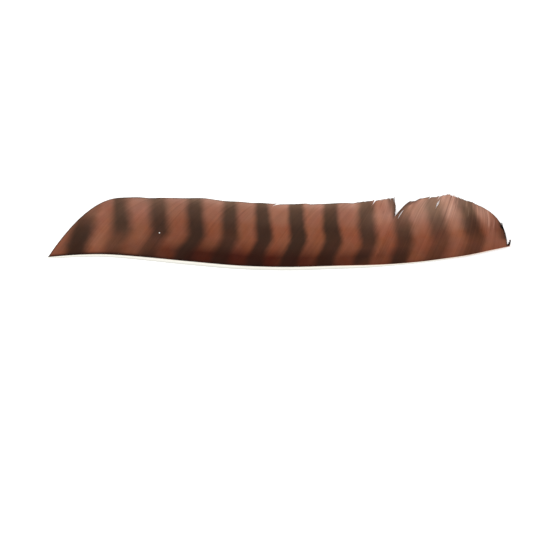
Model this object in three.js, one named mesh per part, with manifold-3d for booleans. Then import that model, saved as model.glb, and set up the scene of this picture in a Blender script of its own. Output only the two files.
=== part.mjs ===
// A barred turkey wing feather, one vane wide, lying on its side.
// The quill has been split lengthwise and ground flat, and the narrow vane stripped off it.
// Millimetres. X runs from the butt to the tip, Y from the quill to the vane's free edge, Z up.
// The origin is under the middle of the feather, on the surface that it lies on.
import * as THREE from "three";
import { mergeVertices } from "three/addons/utils/BufferGeometryUtils.js";
import Module from "manifold-3d";

// Driving dimensions.
const featherLength = 280; // ground quill, end to end
const halfLength = featherLength / 2;
const seamGap = 0.3; // between the vane's roots and the quill
const vaneRootThickness = 0.9;
const vaneEdgeThickness = 0.4;
const camber = 3.0; // how far the longest barbs arch above their chord
const longestBarb = 50;
const archPower = 1.6; // the arch falls off more gently towards the free edge
const tipLift = 3.0; // the quill's thin end curls up by this much
const liftStart = 45; // X where that curl begins

// Lattice of the two solids.
const quillStations = 64;
const vaneColumns = 72;
const vaneRows = 8;
const mergeDistance = 1e-4;

// The ground quill: its seam with the vane, its height in Y and its width in Z, each against X.
const seamLine = smoothThrough([
  [-140, -14.9], [-122, -13.45], [-104, -13.15], [-82, -14.65], [-52, -17.6],
  [-23, -20.1], [6, -20.85], [35, -20.0], [64, -19.1], [85, -17.4],
  [100, -15.55], [114, -13.5], [129, -10.3], [140, -8.1],
]);
const quillHeight = smoothThrough([
  [-140, 0.5], [-134, 1.3], [-110, 1.7], [-60, 2.35], [0, 2.25],
  [45, 2.1], [66, 1.45], [85, 1.1], [115, 0.9], [140, 0.45],
]);
const quillWidth = smoothThrough([
  [-140, 1.4], [-120, 2.6], [-60, 3.0], [0, 2.7], [60, 2.0], [100, 1.4], [140, 0.7],
]);

// The quill's section as [share of height from the ground face, share of width], from the vane side round.
const quillSection = [
  [1.0, 0.28], [1.0, 0.8], [0.62, 1.0], [0.12, 1.0],
  [0.0, 0.9], [0.0, 0.1], [0.12, 0.0], [0.72, 0.0],
];
const seamShare = 0.54; // the vane leaves the quill at this share of its width

// The vane's worn free edge, Y against X.
const freeEdge = smoothThrough([
  [-94, 21.0], [-89, 21.3], [-79, 20.7], [-68, 20.8], [-47, 20.4], [-37, 19.4],
  [-24, 18.2], [-10, 17.7], [2, 16.7], [13, 17.1], [21, 16.6], [35, 17.4],
  [44, 17.4], [56, 18.8], [69, 20.2], [80, 18.7], [87, 20.3], [96, 21.3],
  [102.5, 22.7], [106, 21.7], [111, 20.1], [117, 18.0], [123, 14.7], [129, 11.1],
  [134.7, 5.5],
]);

// How the barbs run, against the X of their root: how far the tip lies ahead of the root,
// and the angles from +X at which a barb leaves the quill and reaches the edge.
// The vane has come unhooked between the barbs rooted at splitRoot.
const firstRoot = -138.2;
const lastRoot = 137.9;
const splitRoot = 56;
const barbLean = {
  butt: smoothThrough([[firstRoot, 46.1], [-108, 38], [-78, 35], [13, 33.2], [40, 28.4], [splitRoot, 14.8]]),
  tip: smoothThrough([[splitRoot, 23.8], [87, 16.9], [110, 7.2], [122, 3], [lastRoot, -3.2]]),
};
const rootAngle = {
  butt: smoothThrough([[firstRoot, 59.4], [-108, 54], [-78, 52], [13, 52], [40, 56], [splitRoot, 62]]),
  tip: smoothThrough([[splitRoot, 62], [87, 64], [110, 68], [122, 72], [lastRoot, 94]]),
};
const edgeAngle = {
  butt: smoothThrough([[firstRoot, -5.6], [-108, 8], [-78, 14], [13, 20], [40, 40], [splitRoot, 104]]),
  tip: smoothThrough([[splitRoot, 18], [87, 68], [110, 92], [122, 108], [lastRoot, 110]]),
};
const rootHandle = 0.5; // Bezier handles, as shares of a barb's chord
const edgeHandle = 0.25;

// The split between the two lobes, as it opens at the free edge, and the prism that cuts it.
const notchOutline = [
  [71.9, 10.2], [70.8, 12.9], [69.7, 16.7], [70.0, 30], [81, 30],
  [80, 18.8], [75.8, 16.4], [72.7, 13.1],
];
const notchDepth = 20;
const notchBelow = 5;

// The vane's free edge lies on the surface between these X, and rises towards both ends.
const edgeRestStart = -75;
const edgeRestEnd = 50;
const buttEdgeRise = 1.4;
const tipEdgeRise = 3.6;
const tipEdgePower = 1.5; // slow at first, then steeper

const quillColour = 0xf2ecdf;
const vaneColour = 0x7a4a36;

// A smooth curve through [x, value] pairs, as a function of x.
function smoothThrough(points) {
  const slope = (i) => {
    const before = points[Math.max(i - 1, 0)];
    const after = points[Math.min(i + 1, points.length - 1)];
    return (after[1] - before[1]) / (after[0] - before[0]);
  };
  return (x) => {
    let i = 0;
    while (i < points.length - 2 && x > points[i + 1][0]) i += 1;
    const [x0, y0] = points[i];
    const [x1, y1] = points[i + 1];
    const span = x1 - x0;
    const t = THREE.MathUtils.clamp((x - x0) / span, 0, 1);
    const start = (2 * t ** 3 - 3 * t ** 2 + 1) * y0 + (t ** 3 - 2 * t ** 2 + t) * span * slope(i);
    const end = (3 * t ** 2 - 2 * t ** 3) * y1 + (t ** 3 - t ** 2) * span * slope(i + 1);
    return start + end;
  };
}

// Height of the quill's underside above the surface.
function quillLift(x) {
  return tipLift * Math.max(0, (x - liftStart) / (halfLength - liftStart)) ** 2;
}

// Height of the free edge's underside above the surface.
function edgeLift(x) {
  const butt = Math.max(0, (edgeRestStart - x) / (halfLength + edgeRestStart));
  const tip = Math.max(0, (x - edgeRestEnd) / (halfLength - edgeRestEnd));
  return buttEdgeRise * butt + tipEdgeRise * tip ** tipEdgePower;
}

// A barb seen from above: a cubic Bezier curve from the quill's seam to the free edge.
function barb(rootX) {
  const lobe = rootX <= splitRoot ? "butt" : "tip";
  const tipX = rootX + barbLean[lobe](rootX);
  const root = new THREE.Vector2(rootX, seamLine(rootX) + seamGap);
  const tip = new THREE.Vector2(tipX, freeEdge(tipX));
  const chord = root.distanceTo(tip);
  const towards = (degrees, length) => {
    const angle = THREE.MathUtils.degToRad(degrees);
    return new THREE.Vector2(Math.cos(angle), Math.sin(angle)).multiplyScalar(length);
  };
  const fromRoot = root.clone().add(towards(rootAngle[lobe](rootX), rootHandle * chord));
  const fromTip = tip.clone().sub(towards(edgeAngle[lobe](rootX), edgeHandle * chord));
  return new THREE.CubicBezierCurve(root, fromRoot, fromTip, tip);
}

// Share of the camber at a share t of a barb's length: zero at both ends, fullest nearer the quill.
function archShare(t) {
  const arch = (share) => share * (1 - share) ** archPower;
  const fullestAt = 1 / (1 + archPower);
  return arch(t) / arch(fullestAt);
}

// The vane is one web of hooked barbs. A box's lattice is bent over them, column by column.
function vaneGeometry() {
  const geometry = new THREE.BoxGeometry(1, 1, 1, vaneColumns, vaneRows, 1);
  const position = geometry.attributes.position;
  const barbs = new Map();
  for (let i = 0; i < position.count; i += 1) {
    const along = position.getX(i) + 0.5;
    const t = position.getY(i) + 0.5;
    const side = position.getZ(i);
    const rootX = THREE.MathUtils.lerp(firstRoot, lastRoot, along);
    if (!barbs.has(along)) barbs.set(along, barb(rootX));
    const curve = barbs.get(along);
    const point = curve.getPoint(t);
    const chord = curve.v0.distanceTo(curve.v3);
    const rootThickness = Math.min(vaneRootThickness, quillWidth(rootX) / 2);
    const thickness = THREE.MathUtils.lerp(rootThickness, vaneEdgeThickness, t);
    const rootZ = quillLift(rootX) + seamShare * quillWidth(rootX);
    const edgeZ = edgeLift(curve.v3.x) + vaneEdgeThickness / 2;
    const middleZ = THREE.MathUtils.lerp(rootZ, edgeZ, t)
      + camber * (chord / longestBarb) * archShare(t);
    position.setXYZ(i, point.x, point.y, middleZ + side * thickness);
  }
  return geometry;
}

// The open part of the split, as a prism taller than the vane.
function notchGeometry() {
  const outline = new THREE.Shape(notchOutline.map(([x, y]) => new THREE.Vector2(x, y)));
  const geometry = new THREE.ExtrudeGeometry(outline, { depth: notchDepth, bevelEnabled: false });
  return geometry.translate(0, 0, -notchBelow);
}

// The quill: an eight-sided cylinder bent along its seam line, with the section above at each station.
function quillGeometry() {
  const sides = quillSection.length;
  const geometry = new THREE.CylinderGeometry(1, 1, 1, sides, quillStations);
  const position = geometry.attributes.position;
  for (let i = 0; i < position.count; i += 1) {
    const x = position.getY(i) * featherLength;
    const isCentre = Math.hypot(position.getX(i), position.getZ(i)) < 0.5;
    const turn = Math.atan2(position.getX(i), position.getZ(i)) / (2 * Math.PI);
    const corner = quillSection[Math.round((turn + 1) * sides) % sides];
    const [heightShare, widthShare] = isCentre ? [0.5, 0.5] : corner;
    const y = seamLine(x) - quillHeight(x) * (1 - heightShare);
    position.setXYZ(i, x, y, quillLift(x) + quillWidth(x) * widthShare);
  }
  return geometry;
}

const wasm = await Module();
wasm.setup();

// Turns a closed three.js geometry into a solid that can be cut.
function toSolid(geometry) {
  const bare = geometry.clone();
  bare.deleteAttribute("normal");
  bare.deleteAttribute("uv");
  const merged = mergeVertices(bare, mergeDistance);
  return new wasm.Manifold(new wasm.Mesh({
    numProp: 3,
    vertProperties: merged.attributes.position.array,
    triVerts: new Uint32Array(merged.index.array),
  }));
}

// Turns a cut solid back into a geometry.
function toGeometry(solid) {
  const cut = solid.getMesh();
  const geometry = new THREE.BufferGeometry();
  geometry.setAttribute("position", new THREE.BufferAttribute(cut.vertProperties, 3));
  geometry.setIndex(new THREE.BufferAttribute(cut.triVerts, 1));
  geometry.computeVertexNormals();
  return geometry;
}

function namedMesh(name, geometry, colour, roughness) {
  const material = new THREE.MeshStandardMaterial({ color: colour, roughness, metalness: 0 });
  const mesh = new THREE.Mesh(geometry, material);
  mesh.name = name;
  return mesh;
}

const feather = new THREE.Group();
feather.name = "feather";
feather.add(namedMesh("quill", quillGeometry(), quillColour, 0.45));
const vane = toSolid(vaneGeometry()).subtract(toSolid(notchGeometry()));
feather.add(namedMesh("vane", toGeometry(vane), vaneColour, 0.6));

export default feather;
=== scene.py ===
import math

import bmesh
import bpy
import numpy as np
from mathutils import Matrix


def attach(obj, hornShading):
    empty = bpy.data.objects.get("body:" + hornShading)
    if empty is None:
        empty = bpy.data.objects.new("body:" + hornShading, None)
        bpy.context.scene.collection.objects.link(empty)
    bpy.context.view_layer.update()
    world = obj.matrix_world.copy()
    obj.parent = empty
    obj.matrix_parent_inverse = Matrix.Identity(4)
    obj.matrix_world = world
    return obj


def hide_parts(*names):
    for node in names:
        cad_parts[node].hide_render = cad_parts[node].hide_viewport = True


# A barred turkey wing feather, dyed brown: one vane of hooked barbs on a quill that is split and ground
# flat. Sizes are in millimetres until a mesh is built. X runs from the butt to the tip, Y from the quill
# to the vane's free edge, and Z up from the surface that the feather lies on.

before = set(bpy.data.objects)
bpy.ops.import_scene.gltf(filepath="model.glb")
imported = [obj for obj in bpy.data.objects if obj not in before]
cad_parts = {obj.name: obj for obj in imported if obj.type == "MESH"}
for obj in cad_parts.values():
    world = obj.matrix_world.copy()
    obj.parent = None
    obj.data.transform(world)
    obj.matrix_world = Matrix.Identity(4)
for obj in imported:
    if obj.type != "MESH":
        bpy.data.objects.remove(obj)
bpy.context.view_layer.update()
mm = 0.001
dice = np.random.default_rng(11)
print("frame loaded")


def smoothThrough(points):  # a smooth curve through [x, value] pairs, as a function of x
    xs, ys = np.array(points, float).T
    before = np.maximum(np.arange(len(xs)) - 1, 0)
    after = np.minimum(np.arange(len(xs)) + 1, len(xs) - 1)
    slopes = (ys[after] - ys[before]) / (xs[after] - xs[before])

    def valueAt(x):
        x = np.clip(x, xs[0], xs[-1])
        i = np.clip(np.searchsorted(xs, x, side="right") - 1, 0, len(xs) - 2)
        span = xs[i + 1] - xs[i]
        t = (x - xs[i]) / span
        start = (2 * t**3 - 3 * t**2 + 1) * ys[i] + (t**3 - 2 * t**2 + t) * span * slopes[i]
        return start + (3 * t**2 - 2 * t**3) * ys[i + 1] + (t**3 - t**2) * span * slopes[i + 1]

    return valueAt


feather = {  # the outline that the quill and the vane share
    "butt": -140,
    "tip": 140,
    "tipLift": 3.0,  # the quill's thin end curls up
    "liftStart": 45,
    "seamLine": smoothThrough([  # where the vane meets the quill
        [-140, -15.0], [-122, -13.6], [-104, -13.3], [-82, -14.85], [-52, -17.7],
        [-23, -20.15], [6, -20.93], [35, -20.15], [64, -19.35], [85, -17.75],
        [100, -15.85], [114, -13.8], [129, -10.6], [140, -8.3],
    ]),
    "quillWidth": smoothThrough([
        [-140, 1.4], [-120, 2.6], [-60, 3.0], [0, 2.7], [60, 2.0], [100, 1.4], [140, 0.7],
    ]),
    "freeEdge": smoothThrough([  # the vane's worn outer edge
        [-94, 20.75], [-84.8, 21.25], [-78, 20.75], [-70.3, 20.95], [-57, 20.7], [-45, 20.7],
        [-33.5, 19.15], [-22.5, 18.5], [-16, 17.9], [-11, 17.9], [-1.5, 17.2], [9.3, 17.15],
        [16.6, 17.45], [20.2, 17.05], [41.9, 17.95], [45.5, 17.65], [49.2, 18.4], [60, 19.6],
        [70.5, 20.8], [80, 18.9], [83, 19.2], [85.4, 20.4], [87.8, 20.65], [92.6, 21.5],
        [95, 21.5], [102.4, 23.0], [104.7, 22.45], [111.9, 19.7], [116.8, 18.2], [119.2, 16.9],
        [124, 14.65], [128.8, 11.35], [131.3, 8.8], [133.7, 5.6], [134.7, 4.7],
    ]),
}


def quillLift(x):  # height of the quill's underside
    reach = feather["tip"] - feather["liftStart"]
    return feather["tipLift"] * (np.maximum(0, x - feather["liftStart"]) / reach) ** 2


def hexColour(text):  # an sRGB hex value as linear RGBA
    channels = [int(text[i:i + 2], 16) / 255 for i in (1, 3, 5)]
    return tuple(c / 12.92 if c <= 0.04045 else ((c + 0.055) / 1.055) ** 2.4 for c in channels) + (1.0,)


def addNode(tree, kind, inputs=None, stops=(), **settings):  # one node, its settings and what feeds it
    node = tree.nodes.new(kind)
    for setting, value in settings.items():
        setattr(node, setting, value)
    for number, (place, colour) in enumerate(stops):
        ramp = node.color_ramp.elements
        stop = ramp[number] if number < len(ramp) else ramp.new(place)
        stop.position = place
        stop.color = hexColour(colour)
    for socket, value in (inputs or {}).items():
        if isinstance(value, bpy.types.NodeSocket):
            tree.links.new(value, node.inputs[socket])
        else:
            node.inputs[socket].default_value = value
    return node


def addSmoothStep(tree, value, start, end, first=0.0, last=1.0):  # from first at start to last at end
    return addNode(tree, "ShaderNodeMapRange", {
        "Value": value, "From Min": start, "From Max": end, "To Min": first, "To Max": last},
        interpolation_type="SMOOTHSTEP")


def newMaterial(name):
    material = bpy.data.materials.new(name)
    material.use_nodes = True
    tree = material.node_tree
    tree.nodes.clear()
    shader = addNode(tree, "ShaderNodeBsdfPrincipled")
    addNode(tree, "ShaderNodeOutputMaterial", {"Surface": shader.outputs[0]})
    return material, tree, shader


def rodTemplate(sides, rings):  # a straight rod along X from 0 to 1, radius 1, ringed along its length
    bm = bmesh.new()
    bmesh.ops.create_cone(bm, cap_ends=True, segments=sides, radius1=1, radius2=1, depth=1)
    longEdges = [e for e in bm.edges if abs(e.verts[0].co.z - e.verts[1].co.z) > 0.5]
    bmesh.ops.subdivide_edges(bm, edges=longEdges, cuts=rings - 2, use_grid_fill=True)
    bm.verts.index_update()
    along = np.array([v.co.z + 0.5 for v in bm.verts])
    across = np.array([v.co.x for v in bm.verts])
    up = np.array([v.co.y for v in bm.verts])
    faces = [[v.index for v in f.verts] for f in bm.faces]
    bm.free()
    return along, across, up, faces


def newPiece(name, places, faces, material, values=None):  # places in mm, values by attribute name
    mesh = bpy.data.meshes.new(name)
    mesh.from_pydata((places * mm).tolist(), [], faces)
    for attribute, numbers in (values or {}).items():
        flat = np.asarray(numbers, np.float32)
        kind, key = ("FLOAT", "value") if flat.ndim == 1 else ("FLOAT_VECTOR", "vector")
        mesh.attributes.new(attribute, kind, "POINT").data.foreach_set(key, flat.ravel())
    mesh.materials.append(material)
    mesh.validate()
    piece = bpy.data.objects.new(name, mesh)
    bpy.context.scene.collection.objects.link(piece)
    mesh.shade_smooth()
    return piece


def quillMaterial():
    # Keratin horn, grown and then ground: nearly white, satin where whole, stained pink along the vane.
    # The ground face shows chalky white pith with fine scratches along it.
    look = {
        "horn": "#f1ebdf",
        # the next two colours are painted shade: the horn greys towards its far, rounded edge, which turns
        # from the light
        "hornLowerShade": "#e1dfd6",
        "hornUndersideShade": "#d0d0ca",
        "stain": "#e2ad90",  # dye that crept into the horn along the vane
        "thinEnd": "#e0c4b2",
        "pith": "#fbf8f0",
        "stainRise": (0.74, 0.98),  # shares of the quill's height over which that stain comes in
        "stainAlong": (5, 60),  # and the X over which it does
        "thinEndAlong": (85, 138),  # the X over which the thin end turns pink
        "scratchSpacing": 0.35,  # real grit marks are near 0.1 mm, drawn coarser so that they show
        "scratchSquash": 0.04,  # their width as a share of their length
        "scratchDepth": 0.06,
        "hornRoughness": 0.38,
        "pithRoughness": 0.85,
        "hornIor": 1.54,
    }
    material, tree, shader = newMaterial("ground keratin quill")
    place = addNode(tree, "ShaderNodeTexCoord").outputs["Object"]
    x = addNode(tree, "ShaderNodeSeparateXYZ", {0: place}).outputs["X"]
    rise = addNode(tree, "ShaderNodeAttribute", attribute_name="rise").outputs["Fac"]
    pith = addNode(tree, "ShaderNodeAttribute", attribute_name="pith").outputs["Fac"]
    # painted shade: from the vane the horn greys towards its far, rounded edge and the ground face
    hornShading = addNode(tree, "ShaderNodeValToRGB", {0: rise}, stops=[
        (0.0, look["hornUndersideShade"]), (0.3, look["hornLowerShade"]),
        (0.58, look["hornLowerShade"]), (0.85, look["horn"])])
    nearVane = addSmoothStep(tree, rise, *look["stainRise"])
    farAlong = addSmoothStep(tree, x, *(mm * end for end in look["stainAlong"]))
    stained = addNode(tree, "ShaderNodeMath", {
        0: nearVane.outputs[0], 1: farAlong.outputs[0]}, operation="MULTIPLY")
    stainedHorn = addNode(tree, "ShaderNodeMix", {
        0: stained.outputs[0], "A": hornShading.outputs[0], "B": hexColour(look["stain"])}, data_type="RGBA")
    towardsTip = addSmoothStep(tree, x, *(mm * end for end in look["thinEndAlong"]))
    horn = addNode(tree, "ShaderNodeMix", {
        0: towardsTip.outputs[0], "A": stainedHorn.outputs[2], "B": hexColour(look["thinEnd"])},
        data_type="RGBA")
    isPith = addNode(tree, "ShaderNodeMapRange", {"Value": pith, "From Min": 0.6, "From Max": 0.8})
    grit = 1 / (look["scratchSpacing"] * mm)
    grain = addNode(tree, "ShaderNodeMapping", {
        "Vector": place, "Scale": (look["scratchSquash"] * grit, grit, grit)})
    scratches = addNode(tree, "ShaderNodeTexNoise", {
        "Vector": grain.outputs[0], "Scale": 1.0, "Detail": 3.0})
    colour = addNode(tree, "ShaderNodeMix", {
        0: isPith.outputs[0], "A": horn.outputs[2], "B": hexColour(look["pith"])}, data_type="RGBA")
    streak = addNode(tree, "ShaderNodeMapRange", {
        "Value": scratches.outputs["Fac"], "From Min": 0.3, "From Max": 0.7,
        "To Min": 0.96, "To Max": 1.02})
    final = addNode(tree, "ShaderNodeHueSaturation", {
        "Color": colour.outputs[2], "Value": streak.outputs[0]})
    bump = addNode(tree, "ShaderNodeBump", {
        "Height": scratches.outputs["Fac"], "Strength": 0.35, "Distance": look["scratchDepth"] * mm})
    roughness = addNode(tree, "ShaderNodeMapRange", {
        "Value": isPith.outputs[0], "To Min": look["hornRoughness"], "To Max": look["pithRoughness"]})
    tree.links.new(final.outputs[0], shader.inputs["Base Color"])
    tree.links.new(bump.outputs[0], shader.inputs["Normal"])
    tree.links.new(roughness.outputs[0], shader.inputs["Roughness"])
    shader.inputs["IOR"].default_value = look["hornIor"]
    return material


def vaneMaterial():
    # Barbs hooked into a web, dyed brown over the bird's own dark bars: satin along each barb, paler where
    # the web is thin, deep red-brown in the glossy band along the quill, and dark at the rim.
    look = {
        "light": "#7a452f",
        "dark": "#342015",
        "lightPale": "#b99483",
        "darkPale": "#7e6350",
        "lightBand": "#3e1406",
        "darkBand": "#290e04",
        "rootShade": "#1a0a03",
        "rootShadeReach": 3.0,
        "rim": "#3d3228",
        "rimStrength": 0.75,
        "rimReach": (0.1, 0.65),  # it fades between these distances from the outline
        "barHalf": 0.25,  # share of a bar's pitch, each side of its middle, where the dark has half gone
        "barSoft": 0.18,  # and how far it fades before and after that
        "barWander": 0.05,  # share of the pitch by which its edges wander
        "cloudSize": 6.25,  # of the soft unevenness in the bars' edges and the dye's strength
        "hueSize": 9.09,  # of the slow drift in the dye's hue
        "hueSpread": 0.003,
        "barbuleSpacing": 0.3,  # real barbules are 0.03 mm apart, drawn coarser so that they show
        "barbuleDepth": 0.03,
        "roughness": 0.6,
        "specular": 0.08,
    }
    material, tree, shader = newMaterial("dyed barred barbs")
    place = addNode(tree, "ShaderNodeTexCoord").outputs["Object"]
    phase = addNode(tree, "ShaderNodeAttribute", attribute_name="barPhase").outputs["Fac"]
    softness = addNode(tree, "ShaderNodeAttribute", attribute_name="barSoftness").outputs["Fac"]
    tone = addNode(tree, "ShaderNodeAttribute", attribute_name="tone").outputs["Fac"]
    barbule = addNode(tree, "ShaderNodeAttribute", attribute_name="barbule").outputs["Vector"]
    paling = addNode(tree, "ShaderNodeAttribute", attribute_name="paling").outputs["Vector"]
    margins = addNode(tree, "ShaderNodeAttribute", attribute_name="margins").outputs["Vector"]
    amounts = addNode(tree, "ShaderNodeSeparateXYZ", {0: paling})  # X paler, Y glossy band, Z bar depth
    gaps = addNode(tree, "ShaderNodeSeparateXYZ", {0: margins})  # X from root, Y to rim, Z bar width
    parts = addNode(tree, "ShaderNodeSeparateXYZ", {0: barbule})  # X across, Y along, Z shade at root

    cloud = addNode(tree, "ShaderNodeTexNoise", {
        "Vector": place, "Scale": 1 / (look["cloudSize"] * mm), "Detail": 2.0})
    wander = addNode(tree, "ShaderNodeMapRange", {
        "Value": cloud.outputs["Fac"], "To Min": -look["barWander"], "To Max": look["barWander"]})
    wandered = addNode(tree, "ShaderNodeMath", {0: phase, 1: wander.outputs[0]}, operation="ADD")
    fromBar = addNode(tree, "ShaderNodeMath", {0: wandered.outputs[0], 1: 0.5}, operation="PINGPONG")
    scaled = addNode(tree, "ShaderNodeMath", {
        0: fromBar.outputs[0], 1: gaps.outputs["Z"]}, operation="DIVIDE")
    fade = addNode(tree, "ShaderNodeMath", {0: softness, 1: look["barSoft"]}, operation="MULTIPLY")
    fadeStart = addNode(tree, "ShaderNodeMath", {
        0: look["barHalf"], 1: fade.outputs[0]}, operation="SUBTRACT")
    fadeEnd = addNode(tree, "ShaderNodeMath", {0: look["barHalf"], 1: fade.outputs[0]}, operation="ADD")
    barred = addSmoothStep(
        tree, scaled.outputs[0], fadeStart.outputs[0], fadeEnd.outputs[0], amounts.outputs["Z"], 0.0)
    shades = []
    for name in ("light", "dark"):
        paled = addNode(tree, "ShaderNodeMix", {
            0: amounts.outputs["X"], "A": hexColour(look[name]), "B": hexColour(look[name + "Pale"])},
            data_type="RGBA")
        shades.append(addNode(tree, "ShaderNodeMix", {
            0: amounts.outputs["Y"], "A": paled.outputs[2], "B": hexColour(look[name + "Band"])},
            data_type="RGBA").outputs[2])
    dyed = addNode(tree, "ShaderNodeMix", {
        0: barred.outputs[0], "A": shades[0], "B": shades[1]}, data_type="RGBA")
    rooted = addSmoothStep(tree, gaps.outputs["X"], 0.0, look["rootShadeReach"], parts.outputs["Z"], 0.0)
    shaded = addNode(tree, "ShaderNodeMix", {
        0: rooted.outputs[0], "A": dyed.outputs[2], "B": hexColour(look["rootShade"])}, data_type="RGBA")
    rim = addSmoothStep(tree, gaps.outputs["Y"], *look["rimReach"], look["rimStrength"], 0.0)
    rimmed = addNode(tree, "ShaderNodeMix", {
        0: rim.outputs[0], "A": shaded.outputs[2], "B": hexColour(look["rim"])}, data_type="RGBA")

    fromShaft = addNode(tree, "ShaderNodeMath", {0: parts.outputs["X"]}, operation="ABSOLUTE")
    leaning = addNode(tree, "ShaderNodeMath", {
        0: parts.outputs["Y"], 1: fromShaft.outputs[0]}, operation="SUBTRACT")
    turns = addNode(tree, "ShaderNodeMath", {
        0: leaning.outputs[0], 1: 2 * math.pi / look["barbuleSpacing"]}, operation="MULTIPLY")
    wave = addNode(tree, "ShaderNodeMath", {0: turns.outputs[0]}, operation="SINE")
    bump = addNode(tree, "ShaderNodeBump", {
        "Height": wave.outputs[0], "Strength": 0.35, "Distance": look["barbuleDepth"] * mm})

    value = addNode(tree, "ShaderNodeMath", {0: tone, 1: 1.0}, operation="ADD")
    hueCloud = addNode(tree, "ShaderNodeTexNoise", {
        "Vector": place, "Scale": 1 / (look["hueSize"] * mm), "Detail": 1.0})
    hue = addNode(tree, "ShaderNodeMapRange", {
        "Value": hueCloud.outputs["Fac"], "From Min": 0.3, "From Max": 0.7,
        "To Min": 0.5 - look["hueSpread"], "To Max": 0.5 + look["hueSpread"]})
    saturation = addNode(tree, "ShaderNodeMapRange", {
        "Value": cloud.outputs["Fac"], "From Min": 0.3, "From Max": 0.7, "To Min": 1.03, "To Max": 0.97})
    finished = addNode(tree, "ShaderNodeHueSaturation", {
        "Color": rimmed.outputs[2], "Hue": hue.outputs[0], "Saturation": saturation.outputs[0],
        "Value": value.outputs[0]})
    tree.links.new(finished.outputs[0], shader.inputs["Base Color"])
    tree.links.new(bump.outputs[0], shader.inputs["Normal"])
    shader.inputs["Roughness"].default_value = look["roughness"]
    shader.inputs["Specular IOR Level"].default_value = look["specular"]
    return material


def plainMaterial(name, colour, roughness, glow=0.0):
    material, tree, shader = newMaterial(name)
    shader.inputs["Base Color"].default_value = hexColour(colour)
    shader.inputs["Roughness"].default_value = roughness
    shader.inputs["Emission Color"].default_value = hexColour(colour)
    shader.inputs["Emission Strength"].default_value = glow
    return material


quillShape = {
    "sides": 28,
    "stations": 141,
    "cutSide": 11,  # the corner, counted from the vane, where the round part meets the ground face
    "riseCurve": 0.8,  # powers that square the round section off
    "widthCurve": 0.7,
    "hornWall": 0.28,
    "hornWallMost": 0.15,  # share of the quill's width that the wall doesn't pass where the quill is thin
    "pithDepth": 0.07,
    "pithDepthMost": 0.1,  # share of the quill's height that the pith doesn't pass there
    "sharpFrom": 50,  # degrees between two faces at which their edge is sharp
    "height": smoothThrough([
        [-140, 0.4], [-134, 1.15], [-110, 1.55], [-60, 2.2], [0, 2.1],
        [45, 1.9], [66, 1.2], [85, 0.78], [115, 0.6], [140, 0.28],
    ]),
}


def makeQuill(material):
    sides, cutSide = quillShape["sides"], quillShape["cutSide"]
    along, across, up, faces = rodTemplate(sides, quillShape["stations"])
    across = -across  # the rod's sideways is Z here, and this keeps its faces pointing out
    turn = np.degrees(np.arctan2(across, up))
    corner = np.rint(np.abs(turn) / (360 / sides)).astype(int)  # 0 by the vane, the last one opposite
    cutLevel = math.cos(2 * math.pi * cutSide / sides)
    rise = np.clip((up - cutLevel) / (1 - cutLevel), 0, 1) ** quillShape["riseCurve"]
    width = 0.5 + 0.5 * np.sign(across) * np.abs(across) ** quillShape["widthCurve"]
    x = feather["butt"] + along * (feather["tip"] - feather["butt"])
    fullWidth = feather["quillWidth"](x)
    inGroundFace = corner > cutSide
    wall = np.minimum(quillShape["hornWall"] / fullWidth, quillShape["hornWallMost"])
    faceEdge = 0.5 * math.sin(2 * math.pi * cutSide / sides) ** quillShape["widthCurve"]
    inner = (sides // 2 - corner) / (sides // 2 - cutSide - 1)
    width = np.where(inGroundFace, 0.5 + np.sign(across) * inner * (faceEdge - wall), width)
    height = quillShape["height"](x)
    hollow = inGroundFace * np.minimum(quillShape["pithDepth"], quillShape["pithDepthMost"] * height)
    y = feather["seamLine"](x) - height * (1 - rise) + hollow
    z = quillLift(x) + fullWidth * width
    places = np.stack([x, y, z], axis=1)
    quill = newPiece("quillShaft", places, faces, material, {"rise": rise, "pith": inGroundFace * 1.0})
    quill.data.set_sharp_from_angle(angle=math.radians(quillShape["sharpFrom"]))
    return quill


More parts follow.
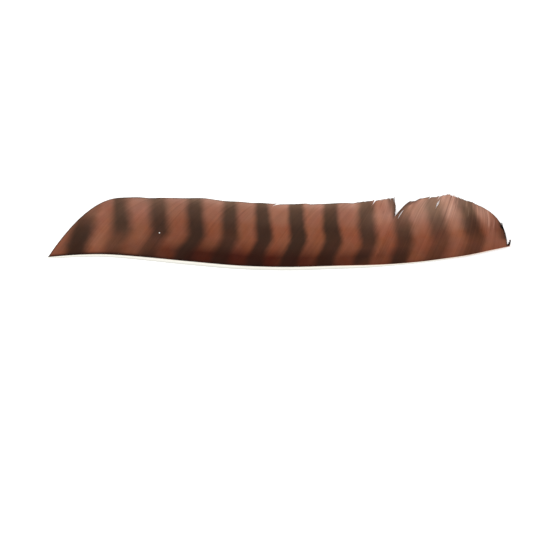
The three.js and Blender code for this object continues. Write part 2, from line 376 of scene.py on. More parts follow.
# The vane. A lobe says where its barbs are rooted, above which Y its first and its last barb stand free,
# how much of a barb is left, how far its tip lies ahead of its root, the angles from +X at which it leaves
# the quill and reaches the edge, how frayed the tips are along X, and how uneven the barbs' tones are: in
# clumps, singly, and by how much more at the free edge.
vane = {
    "spacing": 0.55,  # along the quill
    "rings": 15,
    "crowding": 1.4,  # above 1 the rings stand closer together towards the tips
    "ridge": 0.09,  # a barb's own shaft stands this far above the web
    "keel": 0.18,  # and this far below it
    "taper": 0.65,  # share of the ridge that is gone at the tip
    "keelCurve": 1.5,  # the keel goes sooner than the ridge
    "overlap": 1.35,  # a barb's width with its barbules, in spacings, so that neighbours overlap
    "tilt": 0.03,  # the barbules drop this far towards the butt and rise towards the tip
    "thinnest": 0.05,  # half the width that a barb always keeps
    "sharpFrom": 60,  # degrees between two faces at which their edge is sharp
    "seamShare": 0.54,  # the web leaves the quill at this share of its width
    "rootDepth": 0.15,  # and its barbs are rooted this far inside
    "rootHandle": 0.5,  # handles of a barb's curve, as shares of its chord
    "edgeHandle": 0.25,
    "camber": 3.0,  # how far the longest barbs arch
    "longest": 50,
    "archCurve": 1.6,  # the arch falls off more gently towards the free edge
    "archPeak": 0.1767,  # the most that t * (1 - t) ** archCurve comes to
    "edgeRests": (-75, 50),  # between these X the free edge lies on the surface
    "edgeHeight": 0.2,  # of the barbs' middles there
    "buttRise": 1.4,  # how far the edge rises towards both ends
    "tipRise": 3.6,
    "tipRiseCurve": 1.5,
    "looseFrom": 0.75,  # the share of a barb beyond which its tip can stray
    "clumps": {"reach": 4, "drift": 5, "tone": 6},  # how many barbs keep together
    "slitSpread": 2.0,  # how far from a slit its neighbours are pushed aside
    "slitCurve": 1.3,  # above 1 an open slit widens later
    "bareTip": (0.012, 0.08),  # the bare share of a barb: on a whole tip, and more for each mm of fraying
    "bareWidth": 0.25,  # share of the web's width that is left there
    "bareCurve": 1.5,
    "lobes": {
        "butt": {
            "roots": [-139.2, 56],
            "openAbove": [-math.inf, 9.5],
            "whole": smoothThrough([[53.6, 1], [54.2, 0.94], [54.8, 0.88], [55.4, 0.8], [56, 0.7]]),
            "lean": smoothThrough([[-139.2, 46.9], [-108, 38], [-78, 35], [-10, 33.4], [13, 31.4],
                                   [30, 27], [40, 23.4], [56, 14.8]]),
            "rootAngle": smoothThrough([[-139.2, 54.1], [-108, 53], [-78, 52], [13, 52], [40, 56],
                                        [56, 62]]),
            "edgeAngle": smoothThrough([[-139.2, -5.7], [-108, 8], [-78, 14], [-10, 20], [13, 29],
                                        [30, 55], [40, 80], [56, 108]]),
            "fray": smoothThrough([[-96, 0.02], [30, 0.04], [50, 0.12], [72, 0.2]]),
            "tones": [0.014, 0.036, 0.6],
        },
        "tip": {
            "roots": [56.3, 137.5],
            "openAbove": [9.5, -math.inf],
            "whole": smoothThrough([[56, 1], [137, 1]]),
            "lean": smoothThrough([[56, 23.8], [87, 16.9], [110, 7.2], [122, 3], [137.9, -3.2]]),
            "rootAngle": smoothThrough([[56, 62], [87, 64], [110, 68], [122, 72], [137.9, 94]]),
            "edgeAngle": smoothThrough([[56, 18], [87, 68], [110, 92], [122, 108], [137.9, 110]]),
            "fray": smoothThrough([[78, 0.06], [90, 0.12], [100, 0.2], [112, 0.15], [126, 0.1],
                                   [135, 0.15]]),
            "tones": [0.036, 0.048, 1.7],
        },
        "tuft": {  # the last few barbs, apart from the rest at the quill's very tip
            "roots": [137.8, 138.9],
            "openAbove": [math.inf, math.inf],
            "whole": smoothThrough([[138, 1], [140, 1]]),
            "lean": smoothThrough([[138, 0.4], [139.1, 0.55]]),
            "rootAngle": smoothThrough([[138, 78], [139.1, 74]]),
            "edgeAngle": smoothThrough([[138, 86], [139.1, 94]]),
            "edge": smoothThrough([[138.1, -7.2], [138.6, -6.4], [139.1, -5.4], [139.45, -4.4]]),
            "fray": smoothThrough([[138, 0.05], [140, 0.05]]),
            "tones": [0.02, 0.03, 0.0],
        },
        "closed": {  # how the barbs lay before the vane split, which is how the bars grew
            "lean": smoothThrough([[-139.2, 46.9], [-108, 38], [-78, 35], [-10, 33.4], [13, 31.4],
                                   [30, 27.8], [40, 26], [56, 23.2], [87, 16.9], [110, 7.2], [122, 3],
                                   [137.9, -3.2]]),
            "rootAngle": smoothThrough([[-139.2, 54.1], [-108, 53], [-78, 52], [13, 52], [56, 62],
                                        [87, 64], [110, 68], [122, 72], [137.9, 94]]),
            "edgeAngle": smoothThrough([[-139.2, -5.7], [-108, 8], [-78, 14], [-10, 20], [13, 29],
                                        [56, 48], [87, 68], [110, 92], [122, 108], [137.9, 110]]),
        },
    },
    # Slits where neighbouring barbs have let go: the root they open at, how far up the barb they start
    # and end, and their width. One that ends before 1 closes again short of the edge.
    "slits": [
        {"root": -34.6, "from": 0.88, "to": 1.0, "gap": 1.0},
        {"root": 32.1, "from": 0.87, "to": 1.0, "gap": 1.1},
        {"root": 39.2, "from": 0.93, "to": 1.0, "gap": 0.5},
        {"root": 56.15, "from": 0.5, "to": 0.99, "gap": 1.7},
        {"root": 58.5, "from": 0.58, "to": 0.73, "gap": 1.0},
        {"root": 63.6, "from": 0.61, "to": 0.7, "gap": 0.6},
        {"root": 71.3, "from": 0.92, "to": 1.0, "gap": 1.0},
        {"root": 80.15, "from": 0.75, "to": 0.9, "gap": 1.5},
    ],
    # Single barbs whose tips stand out of the edge: root, extra length and sideways drift.
    "strayTips": [
        [31.2, 0.6, 0.1], [38.7, 0.5, 0.2], [52.9, 0.3, 0.1], [53.5, 0.9, 0.6],
        [86.0, 0.5, 0.1], [89.1, 0.9, 0.4], [94.2, 0.5, 0.2], [137.0, 0.5, 0.3], [137.5, 0.8, 0.4],
    ],
    # Scratches, creases and spots: the root and the share of the barb's length at each end, width,
    # change of brightness, and how much paler it is. The dark lines along creases and where barbs
    # overlap their neighbours are painted shade.
    "streaks": [
        {"roots": [-45.6, -45.6], "from": 0.64, "to": 0.7, "width": 0.3, "tone": -0.22, "pale": 0.0},
        {"roots": [-5.2, -6.8], "from": 0.65, "to": 0.84, "width": 0.35, "tone": -0.24, "pale": 0.0},
        {"roots": [33.7, 33.0], "from": 0.82, "to": 1.0, "width": 0.6, "tone": -0.3, "pale": 0.0},
        {"roots": [38.8, 38.9], "from": 0.87, "to": 0.97, "width": 0.4, "tone": -0.25, "pale": 0.0},
        {"roots": [43.3, 43.3], "from": 0.755, "to": 0.775, "width": 0.5, "tone": -0.3, "pale": 0.0},
        {"roots": [53.8, 53.4], "from": 0.5, "to": 0.57, "width": 0.5, "tone": -0.25, "pale": 0.0},
        {"roots": [49.4, 47.4], "from": 0.78, "to": 1.0, "width": 2.8, "tone": -0.32, "pale": 0.0},
        {"roots": [55.6, 52.6], "from": 0.68, "to": 1.0, "width": 2.5, "tone": -0.7, "pale": 0.0},
        {"roots": [60.6, 62.5], "from": 0.86, "to": 1.0, "width": 3.4, "tone": -0.52, "pale": 0.0},
        {"roots": [58.3, 57.4], "from": 0.7, "to": 1.0, "width": 0.8, "tone": -0.3, "pale": 0.0},
        {"roots": [65.5, 62.5], "from": 0.6, "to": 1.0, "width": 0.9, "tone": -0.22, "pale": 0.0},
        {"roots": [88.3, 87.6], "from": 0.6, "to": 1.0, "width": 0.45, "tone": -0.2, "pale": 0.0},
        {"roots": [85.6, 85.6], "from": 0.67, "to": 0.69, "width": 0.4, "tone": 0.15, "pale": 0.5},
        {"roots": [92.9, 92.9], "from": 0.87, "to": 1.0, "width": 0.6, "tone": -0.45, "pale": 0.0},
        {"roots": [94.0, 93.8], "from": 0.74, "to": 0.86, "width": 0.4, "tone": -0.25, "pale": 0.0},
        {"roots": [91.2, 90.6], "from": 0.5, "to": 0.8, "width": 1.2, "tone": 0.08, "pale": 0.1},
        {"roots": [103.7, 103.7], "from": 0.85, "to": 0.97, "width": 0.4, "tone": 0.05, "pale": 0.3},
        {"roots": [106.1, 106.1], "from": 0.68, "to": 0.82, "width": 0.4, "tone": 0.05, "pale": 0.3},
        {"roots": [122.7, 122.7], "from": 0.54, "to": 0.95, "width": 0.9, "tone": 0.08, "pale": 0.2},
        {"roots": [121.4, 121.4], "from": 0.5, "to": 0.8, "width": 0.5, "tone": -0.18, "pale": 0.0},
        {"roots": [127.0, 128.6], "from": 0.5, "to": 0.8, "width": 0.5, "tone": 0.08, "pale": 0.2},
        {"roots": [124.4, 125.0], "from": 0.4, "to": 0.66, "width": 0.6, "tone": -0.22, "pale": 0.0},
        {"roots": [136.9, 136.7], "from": 0.26, "to": 0.7, "width": 4.4, "tone": -0.62, "pale": 0.0},
        {"roots": [136.8, 134.9], "from": 0.7, "to": 1.0, "width": 3.2, "tone": -0.82, "pale": 0.0},
        {"roots": [138.6, 138.6], "from": 0.0, "to": 1.0, "width": 0.9, "tone": -0.6, "pale": 0.0},
    ],
    "streakFade": 0.2,  # a streak fades out beyond its ends, over this share of its length
    # The dark bars, from the butt to the tip. Each has its middle, as X, and how dark it is, at these
    # shares of the vane's height, and its width and the softness of its edges as shares of the usual ones.
    "barHeights": [0.06, 0.2, 0.3, 0.42, 0.65, 0.95],
    "bars": [
        {"width": 1.27, "soft": 0.8, "middle": [-123.2, -121.5, -120.3, -118.8, -115.7, -108.8],
         "depth": [1, 0.98, 1, 1, 0.72, 0.28]},
        {"width": 1.05, "soft": 1, "middle": [-100.5, -99.4, -96.1, -94.3, -95.1, -96.8],
         "depth": [0.75, 0.62, 0.7, 0.92, 0.98, 0.88]},
        {"width": 1.02, "soft": 0.95, "middle": [-79.4, -76.8, -74.4, -71.4, -72, -72.3],
         "depth": [0.88, 0.68, 0.75, 0.92, 0.96, 0.88]},
        {"width": 1.06, "soft": 0.85, "middle": [-58.4, -55.1, -51.7, -48.9, -50.1, -50.7],
         "depth": [1, 1, 0.98, 1, 1, 0.97]},
        {"width": 1.04, "soft": 0.82, "middle": [-35.9, -33.5, -31.2, -29.3, -29.4, -29.1],
         "depth": [1, 0.95, 0.9, 0.88, 0.97, 0.96]},
        {"width": 1, "soft": 0.7, "middle": [-15.3, -12.9, -10.9, -8.4, -9.3, -10.1],
         "depth": [1, 1, 0.96, 1, 1, 1]},
        {"width": 1.01, "soft": 0.58, "middle": [5.5, 8.1, 10.2, 12.2, 11.1, 10.4],
         "depth": [1, 1, 1, 1, 1, 1]},
        {"width": 1.03, "soft": 0.6, "middle": [27.6, 28.9, 31.5, 32.8, 31.2, 31.3],
         "depth": [1, 1, 0.93, 0.96, 1, 0.9]},
        {"width": 1.03, "soft": 0.8, "middle": [50.3, 51.4, 53.8, 53.6, 51.5, 52.6],
         "depth": [1, 0.96, 0.82, 0.92, 0.95, 0.93]},
        {"width": 1, "soft": 0.82, "middle": [71.9, 74.8, 75.9, 75.9, 75.8, 74.6],
         "depth": [0.97, 0.87, 0.75, 0.9, 0.75, 0.62]},
        {"width": 1.1, "soft": 0.95, "middle": [93.4, 97.2, 98.3, 96.8, 94.7, 92.9],
         "depth": [0.66, 0.55, 0.58, 0.72, 0.86, 0.76]},
        {"width": 1.25, "soft": 0.85, "middle": [117.7, 119.9, 120.4, 117.7, 116.5, 113.2],
         "depth": [0.72, 0.57, 0.6, 0.77, 0.92, 0.85]},
    ],
    "endPitches": (20.5, 15),  # before the first bar and after the last one
    "barUneven": 0.006,  # from barb to barb, as a share of the pitch
    "barWidthUp": smoothThrough([[0, 1.0], [0.25, 0.98], [0.5, 1.0], [0.75, 0.93], [0.95, 0.84]]),
    # How much paler the web is, up the vane and along it: first as on the whole vane, at its thin edge,
    # then as on the tip lobe, which is paler further from the edge, and last as towards both ends.
    "paleUp": [
        smoothThrough([[0.5, 0], [0.6, 0.05], [0.7, 0.25], [0.8, 0.37], [0.9, 0.58], [0.96, 1.0],
                       [1, 1.35]]),
        smoothThrough([[0.42, 0], [0.5, 0.2], [0.6, 0.38], [0.7, 0.68], [0.8, 0.9], [0.9, 1], [1, 1]]),
        smoothThrough([[0.04, 0.3], [0.12, 0.7], [0.2, 1], [0.5, 1], [0.8, 0]]),
    ],
    "paleAlong": [
        smoothThrough([[-120, 0.03], [-104, 0.08], [-84, 0.22], [-62, 0.32], [-40, 0.43], [-20, 0.34],
                       [42, 0.33], [56, 0.2], [64, 0.1], [104, 0.0], [125, 0.05]]),
        smoothThrough([[-120, 0.1], [-100, 0.09], [-84, 0.12], [-68, 0.02], [30, 0], [42, 0.04],
                       [64, 0.22], [84, 0.47], [104, 0.57], [118, 0.42], [124, 0.35], [129, 0.12],
                       [134, 0.02]]),
        smoothThrough([[-135, 0.05], [-105, 0.06], [-86, 0.035], [-66, 0], [92, 0], [107, 0.05],
                       [114, 0.03], [120, 0.02], [127, 0.08]]),
    ],
    "paleUneven": {"amount": 0.06, "over": 5},  # from place to place, and over how many mm
    # Patches where the dye has taken more or less: middle and reach, as X and share of the vane's height,
    # and what each adds to the band's colour, to the paleness and to the brightness.
    "patches": [
        {"at": [-131, 0.27], "reach": [3, 0.14], "band": 0.0, "paling": 0.0, "tone": -0.12},
        {"at": [-126, 0.47], "reach": [3, 0.1], "band": 0.0, "paling": 0.05, "tone": 0.1},
        {"at": [-122, 0.12], "reach": [5, 0.2], "band": 0.28, "paling": -0.05, "tone": 0.0},
        {"at": [-118, 0.5], "reach": [6, 0.25], "band": 0.0, "paling": 0.0, "tone": -0.2},
        {"at": [-111, 0.72], "reach": [5, 0.12], "band": 0.0, "paling": 0.04, "tone": 0.28},
        {"at": [-107, 0.16], "reach": [4, 0.1], "band": 0.0, "paling": 0.02, "tone": 0.12},
        {"at": [-101, 0.94], "reach": [6, 0.12], "band": 0.0, "paling": 0.08, "tone": -0.16},
        {"at": [-89, 0.1], "reach": [4, 0.12], "band": 0.05, "paling": 0.0, "tone": -0.2},
        {"at": [-81, 0.98], "reach": [5, 0.06], "band": 0.0, "paling": 0.0, "tone": -0.18},
        {"at": [-69, 0.88], "reach": [5, 0.12], "band": 0.0, "paling": 0.1, "tone": 0.0},
        {"at": [-50.5, 0.98], "reach": [3.5, 0.06], "band": 0.0, "paling": 0.12, "tone": 0.04},
        {"at": [-31, 0.97], "reach": [4, 0.07], "band": 0.0, "paling": 0.1, "tone": 0.12},
        {"at": [-12, 0.03], "reach": [5, 0.05], "band": 0.0, "paling": 0.0, "tone": -0.45},
        {"at": [-3, 0.34], "reach": [4, 0.08], "band": 0.0, "paling": 0.0, "tone": 0.13},
        {"at": [8, 0.98], "reach": [4, 0.06], "band": 0.0, "paling": 0.0, "tone": 0.16},
        {"at": [27, 0.97], "reach": [4, 0.07], "band": 0.0, "paling": 0.1, "tone": 0.1},
        {"at": [48, 0.97], "reach": [5, 0.07], "band": 0.0, "paling": 0.08, "tone": 0.12},
        {"at": [51.5, 0.03], "reach": [6, 0.06], "band": 0.0, "paling": 0.0, "tone": 1.3},
        {"at": [57.3, 0.76], "reach": [3.5, 0.13], "band": 0.0, "paling": -0.03, "tone": 0.34},
        {"at": [60, 0.96], "reach": [5, 0.08], "band": 0.0, "paling": -0.1, "tone": 0.0},
        {"at": [69.5, 0.6], "reach": [3, 0.16], "band": 0.0, "paling": 0.02, "tone": 0.24},
        {"at": [77, 0.79], "reach": [3.5, 0.12], "band": 0.0, "paling": 0.0, "tone": 0.3},
        {"at": [82, 0.9], "reach": [4, 0.1], "band": 0.0, "paling": -0.13, "tone": 0.0},
        {"at": [89.5, 0.98], "reach": [4, 0.07], "band": 0.0, "paling": 0.0, "tone": 0.22},
        {"at": [104, 0.4], "reach": [3, 0.16], "band": 0.0, "paling": 0.0, "tone": 0.2},
        {"at": [104, 0.97], "reach": [6, 0.07], "band": 0.0, "paling": 0.0, "tone": -0.12},
        {"at": [110, 0.84], "reach": [4, 0.08], "band": 0.0, "paling": -0.08, "tone": -0.26},
        {"at": [115, 0.72], "reach": [5, 0.12], "band": 0.05, "paling": -0.15, "tone": 0.0},
        {"at": [119, 0.98], "reach": [5, 0.1], "band": 0.0, "paling": 0.0, "tone": -0.28},
        {"at": [119.5, 0.46], "reach": [6, 0.24], "band": 0.36, "paling": -0.12, "tone": 0.0},
        {"at": [131, 0.63], "reach": [3.5, 0.18], "band": 0.0, "paling": -0.05, "tone": -0.16},
    ],
    # The glossy band along the quill: how strong it is up the vane, how far up it reaches and how strong
    # it is along the vane, and how far the shade at the roots goes.
    "bandUp": smoothThrough([[0.1, 1], [0.14, 0.98], [0.2, 0.78], [0.26, 0.48], [0.32, 0.27],
                             [0.4, 0.08], [0.46, 0]]),
    "bandReach": smoothThrough([[-110, 0.5], [-88, 0.6], [-67, 0.75], [-47, 0.95], [-25, 1.0], [0, 0.95],
                                [17, 1.0], [38, 0.95], [60, 0.85], [83, 1.1], [106, 1.2]]),
    "bandAlong": smoothThrough([[-133, 0.15], [-110, 0.12], [-88, 0.45], [-67, 0.8], [-47, 1.05],
                                [-4, 1.0], [17, 0.95], [38, 0.82], [60, 0.65], [83, 0.3],
                                [106, 0.25], [127, 0.08]]),
    "bandUneven": {"amount": 0.02, "over": 6},
    "rootShade": smoothThrough([[-130, 1], [-88, 1], [-66, 0.6], [-12, 0.62], [20, 0.46], [45, 0.1],
                                [60, 0.18], [80, 0.3], [106, 0.2], [120, 0.05], [130, 0]]),
    "brightAlong": smoothThrough([[-133, 0.02], [-108, 0.03], [-85, -0.02], [-62, -0.06], [-40, -0.03],
                                  [-20, -0.02], [0, 0.05], [43, 0.05], [65, 0.1], [86, 0.03],
                                  [107, 0.1], [128, 0.08]]),
    "brightTop": smoothThrough([[40, 0], [65, 0.05], [86, 0.1], [107, 0.11], [128, 0.03]]),
}


def edgeLift(x):  # the free edge rests on the surface along the middle and rises towards both ends
    restFrom, restTo = vane["edgeRests"]
    butt = np.maximum(0, (restFrom - x) / (restFrom - feather["butt"]))
    tip = np.maximum(0, (x - restTo) / (feather["tip"] - restTo))
    return vane["buttRise"] * butt + vane["tipRise"] * tip ** vane["tipRiseCurve"]


def barbLines(roots, lobe, t):  # plan of each barb: a cubic Bezier curve from the seam to the free edge
    tipX = roots + lobe["lean"](roots)
    start = np.stack([roots, feather["seamLine"](roots) - vane["rootDepth"]], axis=-1)
    end = np.stack([tipX, lobe.get("edge", feather["freeEdge"])(tipX)], axis=-1)
    chord = np.linalg.norm(end - start, axis=-1)
    startAngle = np.radians(lobe["rootAngle"](roots))
    endAngle = np.radians(lobe["edgeAngle"](roots))
    startHandle = start + vane["rootHandle"] * (chord * (np.cos(startAngle), np.sin(startAngle))).T
    endHandle = end - vane["edgeHandle"] * (chord * (np.cos(endAngle), np.sin(endAngle))).T
    weights = [(1 - t) ** 3, 3 * (1 - t) ** 2 * t, 3 * (1 - t) * t**2, t**3]
    corners = (start, startHandle, endHandle, end)
    plan = sum(weight[..., None] * corner[:, None, :] for weight, corner in zip(weights, corners))
    return plan, chord, tipX


def barValues(key, share):  # one of the bars' values at these shares of the vane's height, bar by bar
    curves = [smoothThrough(list(zip(vane["barHeights"], bar[key]))) for bar in vane["bars"]]
    return np.stack([curve(share) for curve in curves])


def barPhase(x, share):  # whole numbers are the middles of the dark bars
    middles = barValues("middle", share)
    firstPitch, lastPitch = vane["endPitches"]
    phase = np.clip((x - middles[0]) / firstPitch, -0.5, 0)
    phase += np.clip((x - middles[-1]) / lastPitch, 0, 0.5)
    for before, after in zip(middles[:-1], middles[1:]):
        phase += np.clip((x - before) / (after - before), 0, 1)
    return phase


def clumpedNoise(count, clump):  # the same random number for a few neighbouring barbs, then another
    ends = np.cumsum(np.maximum(1, dice.poisson(clump, count)))
    values = dice.normal(0, 1, count + 1)
    return values[np.searchsorted(ends, np.arange(count), side="right")]


def driftingNoise(places, amount, over):  # random, but changing smoothly from one place to the next
    knots = np.arange(places.min() - over, places.max() + 3 * over, over)
    return amount * smoothThrough(list(zip(knots, dice.normal(0, 1, len(knots)))))(places)


def dyeAndShadeOf(lobe, roots, t):  # bars, paleness, glossy band, marks and painted shade at the roots, at shares t of barb length
    plan, _, _ = barbLines(roots, vane["lobes"]["closed"], t)
    x, seam = plan[..., 0], feather["seamLine"](plan[..., 0])
    share = np.clip((plan[..., 1] - seam) / (feather["freeEdge"](x) - seam), 0, 1)
    phase = barPhase(x, share) + vane["barUneven"] * dice.normal(0, 1, len(roots))[:, None]
    nearestBar = np.clip(np.rint(phase), 0, len(vane["bars"]) - 1).astype(int)
    depth = np.take_along_axis(barValues("depth", share), nearestBar[None], axis=0)[0]
    barWidth = vane["barWidthUp"](share) * np.array([bar["width"] for bar in vane["bars"]])[nearestBar]
    barSoftness = np.array([bar["soft"] for bar in vane["bars"]])[nearestBar]

    paleness = sum(up(share) * alongX(x) for up, alongX in zip(vane["paleUp"], vane["paleAlong"]))
    paleness *= 1 + driftingNoise(roots, **vane["paleUneven"])[:, None]
    bandShare = (share + driftingNoise(roots, **vane["bandUneven"])[:, None]) / vane["bandReach"](x)
    band = vane["bandUp"](bandShare) * vane["bandAlong"](x)
    clumpTone, singleTone, moreAtEdge = lobe["tones"]
    tone = clumpTone * clumpedNoise(len(roots), vane["clumps"]["tone"])
    tone += singleTone * dice.normal(0, 1, len(roots))
    tone = tone[:, None] * (1 + moreAtEdge * share**3)
    tone += vane["brightAlong"](x) + vane["brightTop"](x) * share
    for patch in vane["patches"]:
        farAlong = (x - patch["at"][0]) / patch["reach"][0]
        farUp = (share - patch["at"][1]) / patch["reach"][1]
        strength = np.exp(-farAlong**2 - farUp**2)
        band += patch["band"] * strength
        paleness += patch["paling"] * strength
        tone += patch["tone"] * strength
    # darkening streaks paint shade along creases and where barbs overlap their neighbours
    for streak in vane["streaks"]:
        part = (t - streak["from"]) / (streak["to"] - streak["from"])
        centre = np.interp(part, [0, 1], streak["roots"])
        beyond = np.maximum(-part, part - 1)
        ends = np.clip(1 - beyond / vane["streakFade"], 0, 1)
        amount = np.exp(-((roots[:, None] - centre) / streak["width"]) ** 2) * ends
        tone += streak["tone"] * amount
        paleness += streak["pale"] * amount
    paling = np.stack([paleness, band, depth], axis=-1)
    return phase, barWidth, barSoftness, paling, tone, vane["rootShade"](x)


def makeBarbs(name, lobeName, material):  # one lobe's barbs: copies of a rod, bent along their lines
    lobe = vane["lobes"][lobeName]
    along, across, up, faces = rodTemplate(4, vane["rings"])
    evenly, ring = np.unique(along.round(6), return_inverse=True)
    onward = 1 - (1 - evenly) ** vane["crowding"]
    firstRoot, lastRoot = lobe["roots"]
    count = round((lastRoot - firstRoot) / vane["spacing"]) + 1
    roots = np.linspace(firstRoot, lastRoot, count)
    t = lobe["whole"](roots)[:, None] * onward  # share of the full barb's length, at each ring
    plan, chord, tipX = barbLines(roots, lobe, t)

    rootZ = quillLift(roots) + vane["seamShare"] * feather["quillWidth"](roots)
    edgeZ = edgeLift(tipX) + vane["edgeHeight"]
    arch = t * (1 - t) ** vane["archCurve"] / vane["archPeak"]
    height = rootZ[:, None] * (1 - t) + edgeZ[:, None] * t
    height += vane["camber"] * chord[:, None] / vane["longest"] * arch
    middle = np.concatenate([plan, height[..., None]], axis=-1)

    forward = np.gradient(middle, onward, axis=1)
    forward /= np.linalg.norm(forward, axis=-1, keepdims=True)
    toNext = np.gradient(middle, axis=0)
    toNext -= (toNext * forward).sum(-1, keepdims=True) * forward
    pitch = np.linalg.norm(toNext, axis=-1)
    side = -toNext / np.maximum(pitch, 1e-6)[..., None]  # towards the butt
    upwards = np.cross(forward, side)
    length = np.cumsum(np.linalg.norm(np.diff(middle, axis=1, prepend=middle[:, :1]), axis=-1), axis=1)

    # how far each point lies from the lobe's outline
    fromFirst = np.cumsum(pitch, axis=0) - 0.5 * pitch[:1]
    fromLast = fromFirst[-1:] - fromFirst
    toRim = lobe.get("edge", feather["freeEdge"])(plan[..., 0]) - plan[..., 1]
    for toSide, openAbove in zip((fromFirst, fromLast), lobe["openAbove"]):
        toRim = np.minimum(toRim, np.where(plan[..., 1] > openAbove, toSide, math.inf))

    # the tips: uneven lengths, single strays, and barbs that have let go of each other
    frayed = lobe["fray"](tipX)
    reach = frayed * (0.5 * clumpedNoise(count, vane["clumps"]["reach"]) + 0.5 * dice.normal(0, 1, count))
    drift = frayed * 0.5 * clumpedNoise(count, vane["clumps"]["drift"])
    late = np.clip((onward - vane["looseFrom"]) / (1 - vane["looseFrom"]), 0, 1) ** 2
    for root, longer, astray in vane["strayTips"]:
        if firstRoot <= root <= lastRoot:
            nearest = np.argmin(np.abs(roots - root))
            reach[nearest] += longer
            drift[nearest] += astray
    middle += forward * (reach[:, None] * late)[..., None]
    shift = drift[:, None] * late
    for slit in vane["slits"]:
        away = roots - slit["root"]
        near = np.exp(-np.abs(away) / vane["slitSpread"]) * np.sign(away)
        part = np.clip((t - slit["from"]) / (slit["to"] - slit["from"]), 0, 1)
        opening = part ** vane["slitCurve"] if slit["to"] >= 1 else np.sin(math.pi * part)
        shift += near[:, None] * opening * slit["gap"] / 2
    middle -= side * shift[..., None]

    # the web narrows to bare shafts towards a frayed tip, and all barbs end in a point
    wholeBare, frayedBare = vane["bareTip"]
    bareLength = wholeBare + frayedBare * frayed[:, None]
    bare = np.clip((onward - 1 + bareLength) / bareLength, 0, 1)
    halfWidth = 0.5 * pitch * vane["overlap"] * (1 - (1 - vane["bareWidth"]) * bare ** vane["bareCurve"])
    halfWidth = np.maximum(halfWidth, vane["thinnest"])
    taper = 1 - vane["taper"] * onward
    ridge = vane["ridge"] * taper
    keel = vane["keel"] * taper ** vane["keelCurve"]
    lift = np.where(up > 0.5, ridge[ring], np.where(up < -0.5, -keel[ring], 0.0))
    lift = lift - np.where(np.abs(across) > 0.5, vane["tilt"] * across * taper[ring], 0.0)

    placed = middle[:, ring] + side[:, ring] * (across * halfWidth[:, ring])[..., None]
    placed = placed + upwards[:, ring] * lift[None, :, None]
    vertices = len(along)
    allFaces = (np.array(faces)[None] + vertices * np.arange(count)[:, None, None]).reshape(-1, 4).tolist()

    phase, barWidth, barSoftness, paling, tone, rootShade = dyeAndShadeOf(lobe, roots, t)
    margins = np.stack([length, toRim, barWidth], axis=-1)
    barbule = np.stack([across * halfWidth[:, ring], length[:, ring], rootShade[:, ring]], axis=-1)
    piece = newPiece(name, placed.reshape(-1, 3), allFaces, material, {
        "barPhase": phase[:, ring].ravel(),
        "barSoftness": barSoftness[:, ring].ravel(),
        "tone": tone[:, ring].ravel(),
        "paling": paling[:, ring].reshape(-1, 3),
        "margins": margins[:, ring].reshape(-1, 3),
        "barbule": barbule.reshape(-1, 3),
    })
    piece.data.set_sharp_from_angle(angle=math.radians(vane["sharpFrom"]))
    print(f"{name}: {count} barbs, {2 * len(allFaces)} triangles")
    return piece


fleck = {
    "place": (-71.7, -0.45, 4.28),
    "radius": 0.36,
    "widthShare": 0.75,
    "thickness": 0.12,
    "lumps": 0.12,
}


def makeFleck(material):  # a fleck of dust lying on the vane
    bm = bmesh.new()
    bmesh.ops.create_icosphere(bm, subdivisions=2, radius=1)
    size = (fleck["radius"], fleck["widthShare"] * fleck["radius"], 0.5 * fleck["thickness"])
    for vert in bm.verts:
        bump = 1 + fleck["lumps"] * dice.normal()
        vert.co = [bump * side * co for side, co in zip(size, vert.co)]
    places = np.array([v.co for v in bm.verts]) + fleck["place"]
    faces = [[v.index for v in f.verts] for f in bm.faces]
    bm.free()
    return newPiece("dustFleck", places, faces, material)


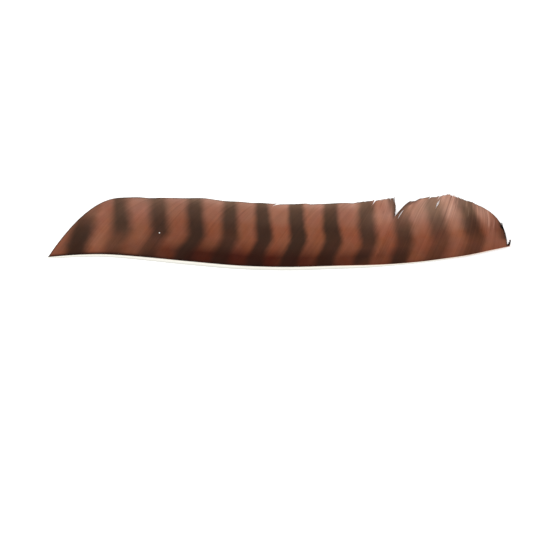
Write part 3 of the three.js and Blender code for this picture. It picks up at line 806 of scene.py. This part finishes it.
stage = {
    "floorSide": 3000,
    "floor": "#fbfbfb",
    "floorGlow": 0.3,  # the floor is a softly lit white table, which leaves no shadow
    "floorBelow": 0.05,
    "viewWidth": 325.94,
    "viewHeight": 2,  # height above the surface at which the view is that wide
    "lens": 85,
    "sensor": 36,
    "aim": (-5.16, -22.8),
    "lampSide": 1400,
    "lampPower": 12,
    "lampAt": (-350, 450, 1100),
    "lampTurn": (-22, -17, 0),  # degrees
    "skyStrength": 0.75,
}


def makeStage():
    bm = bmesh.new()
    bmesh.ops.create_grid(bm, size=stage["floorSide"] / 2 * mm)
    bmesh.ops.translate(bm, verts=bm.verts, vec=(0, 0, -stage["floorBelow"] * mm))
    mesh = bpy.data.meshes.new("floor")
    bm.to_mesh(mesh)
    bm.free()
    floor = bpy.data.objects.new("floor", mesh)
    bpy.context.scene.collection.objects.link(floor)
    mesh.materials.append(plainMaterial("white light table", stage["floor"], 0.9, stage["floorGlow"]))

    camera = bpy.data.objects.new("camera", bpy.data.cameras.new("camera"))
    camera.data.lens = stage["lens"]
    camera.data.sensor_width = stage["sensor"]
    distance = stage["viewWidth"] * stage["lens"] / stage["sensor"]
    camera.location = [mm * place for place in (*stage["aim"], distance + stage["viewHeight"])]
    bpy.context.scene.collection.objects.link(camera)
    bpy.context.scene.camera = camera

    lamp = bpy.data.objects.new("softbox", bpy.data.lights.new("softbox", "AREA"))
    lamp.data.size = stage["lampSide"] * mm
    lamp.data.energy = stage["lampPower"]
    lamp.location = [mm * place for place in stage["lampAt"]]
    lamp.rotation_euler = [math.radians(turn) for turn in stage["lampTurn"]]
    bpy.context.scene.collection.objects.link(lamp)

    world = bpy.data.worlds.new("studio")
    world.use_nodes = True
    sky = world.node_tree.nodes["Background"]
    sky.inputs["Color"].default_value = (1, 1, 1, 1)
    sky.inputs["Strength"].default_value = stage["skyStrength"]
    bpy.context.scene.world = world
    bpy.context.scene.view_settings.view_transform = "Standard"


quill = makeQuill(quillMaterial())
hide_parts("quill")
print("quill made")

web = vaneMaterial()
vanePieces = [
    makeBarbs("barbsOfButtLobe", "butt", web),
    makeBarbs("barbsOfTipLobe", "tip", web),
    makeBarbs("barbsOfTipTuft", "tuft", web),
    makeFleck(plainMaterial("pale dust", "#f6f4f0", 0.95)),
]
for piece in vanePieces:
    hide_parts("vane")
for piece, slotName in [(quill, "quill")] + [(piece, "vane") for piece in vanePieces]:
    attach(piece, "root")
print("vane made")

makeStage()
print("stage set")
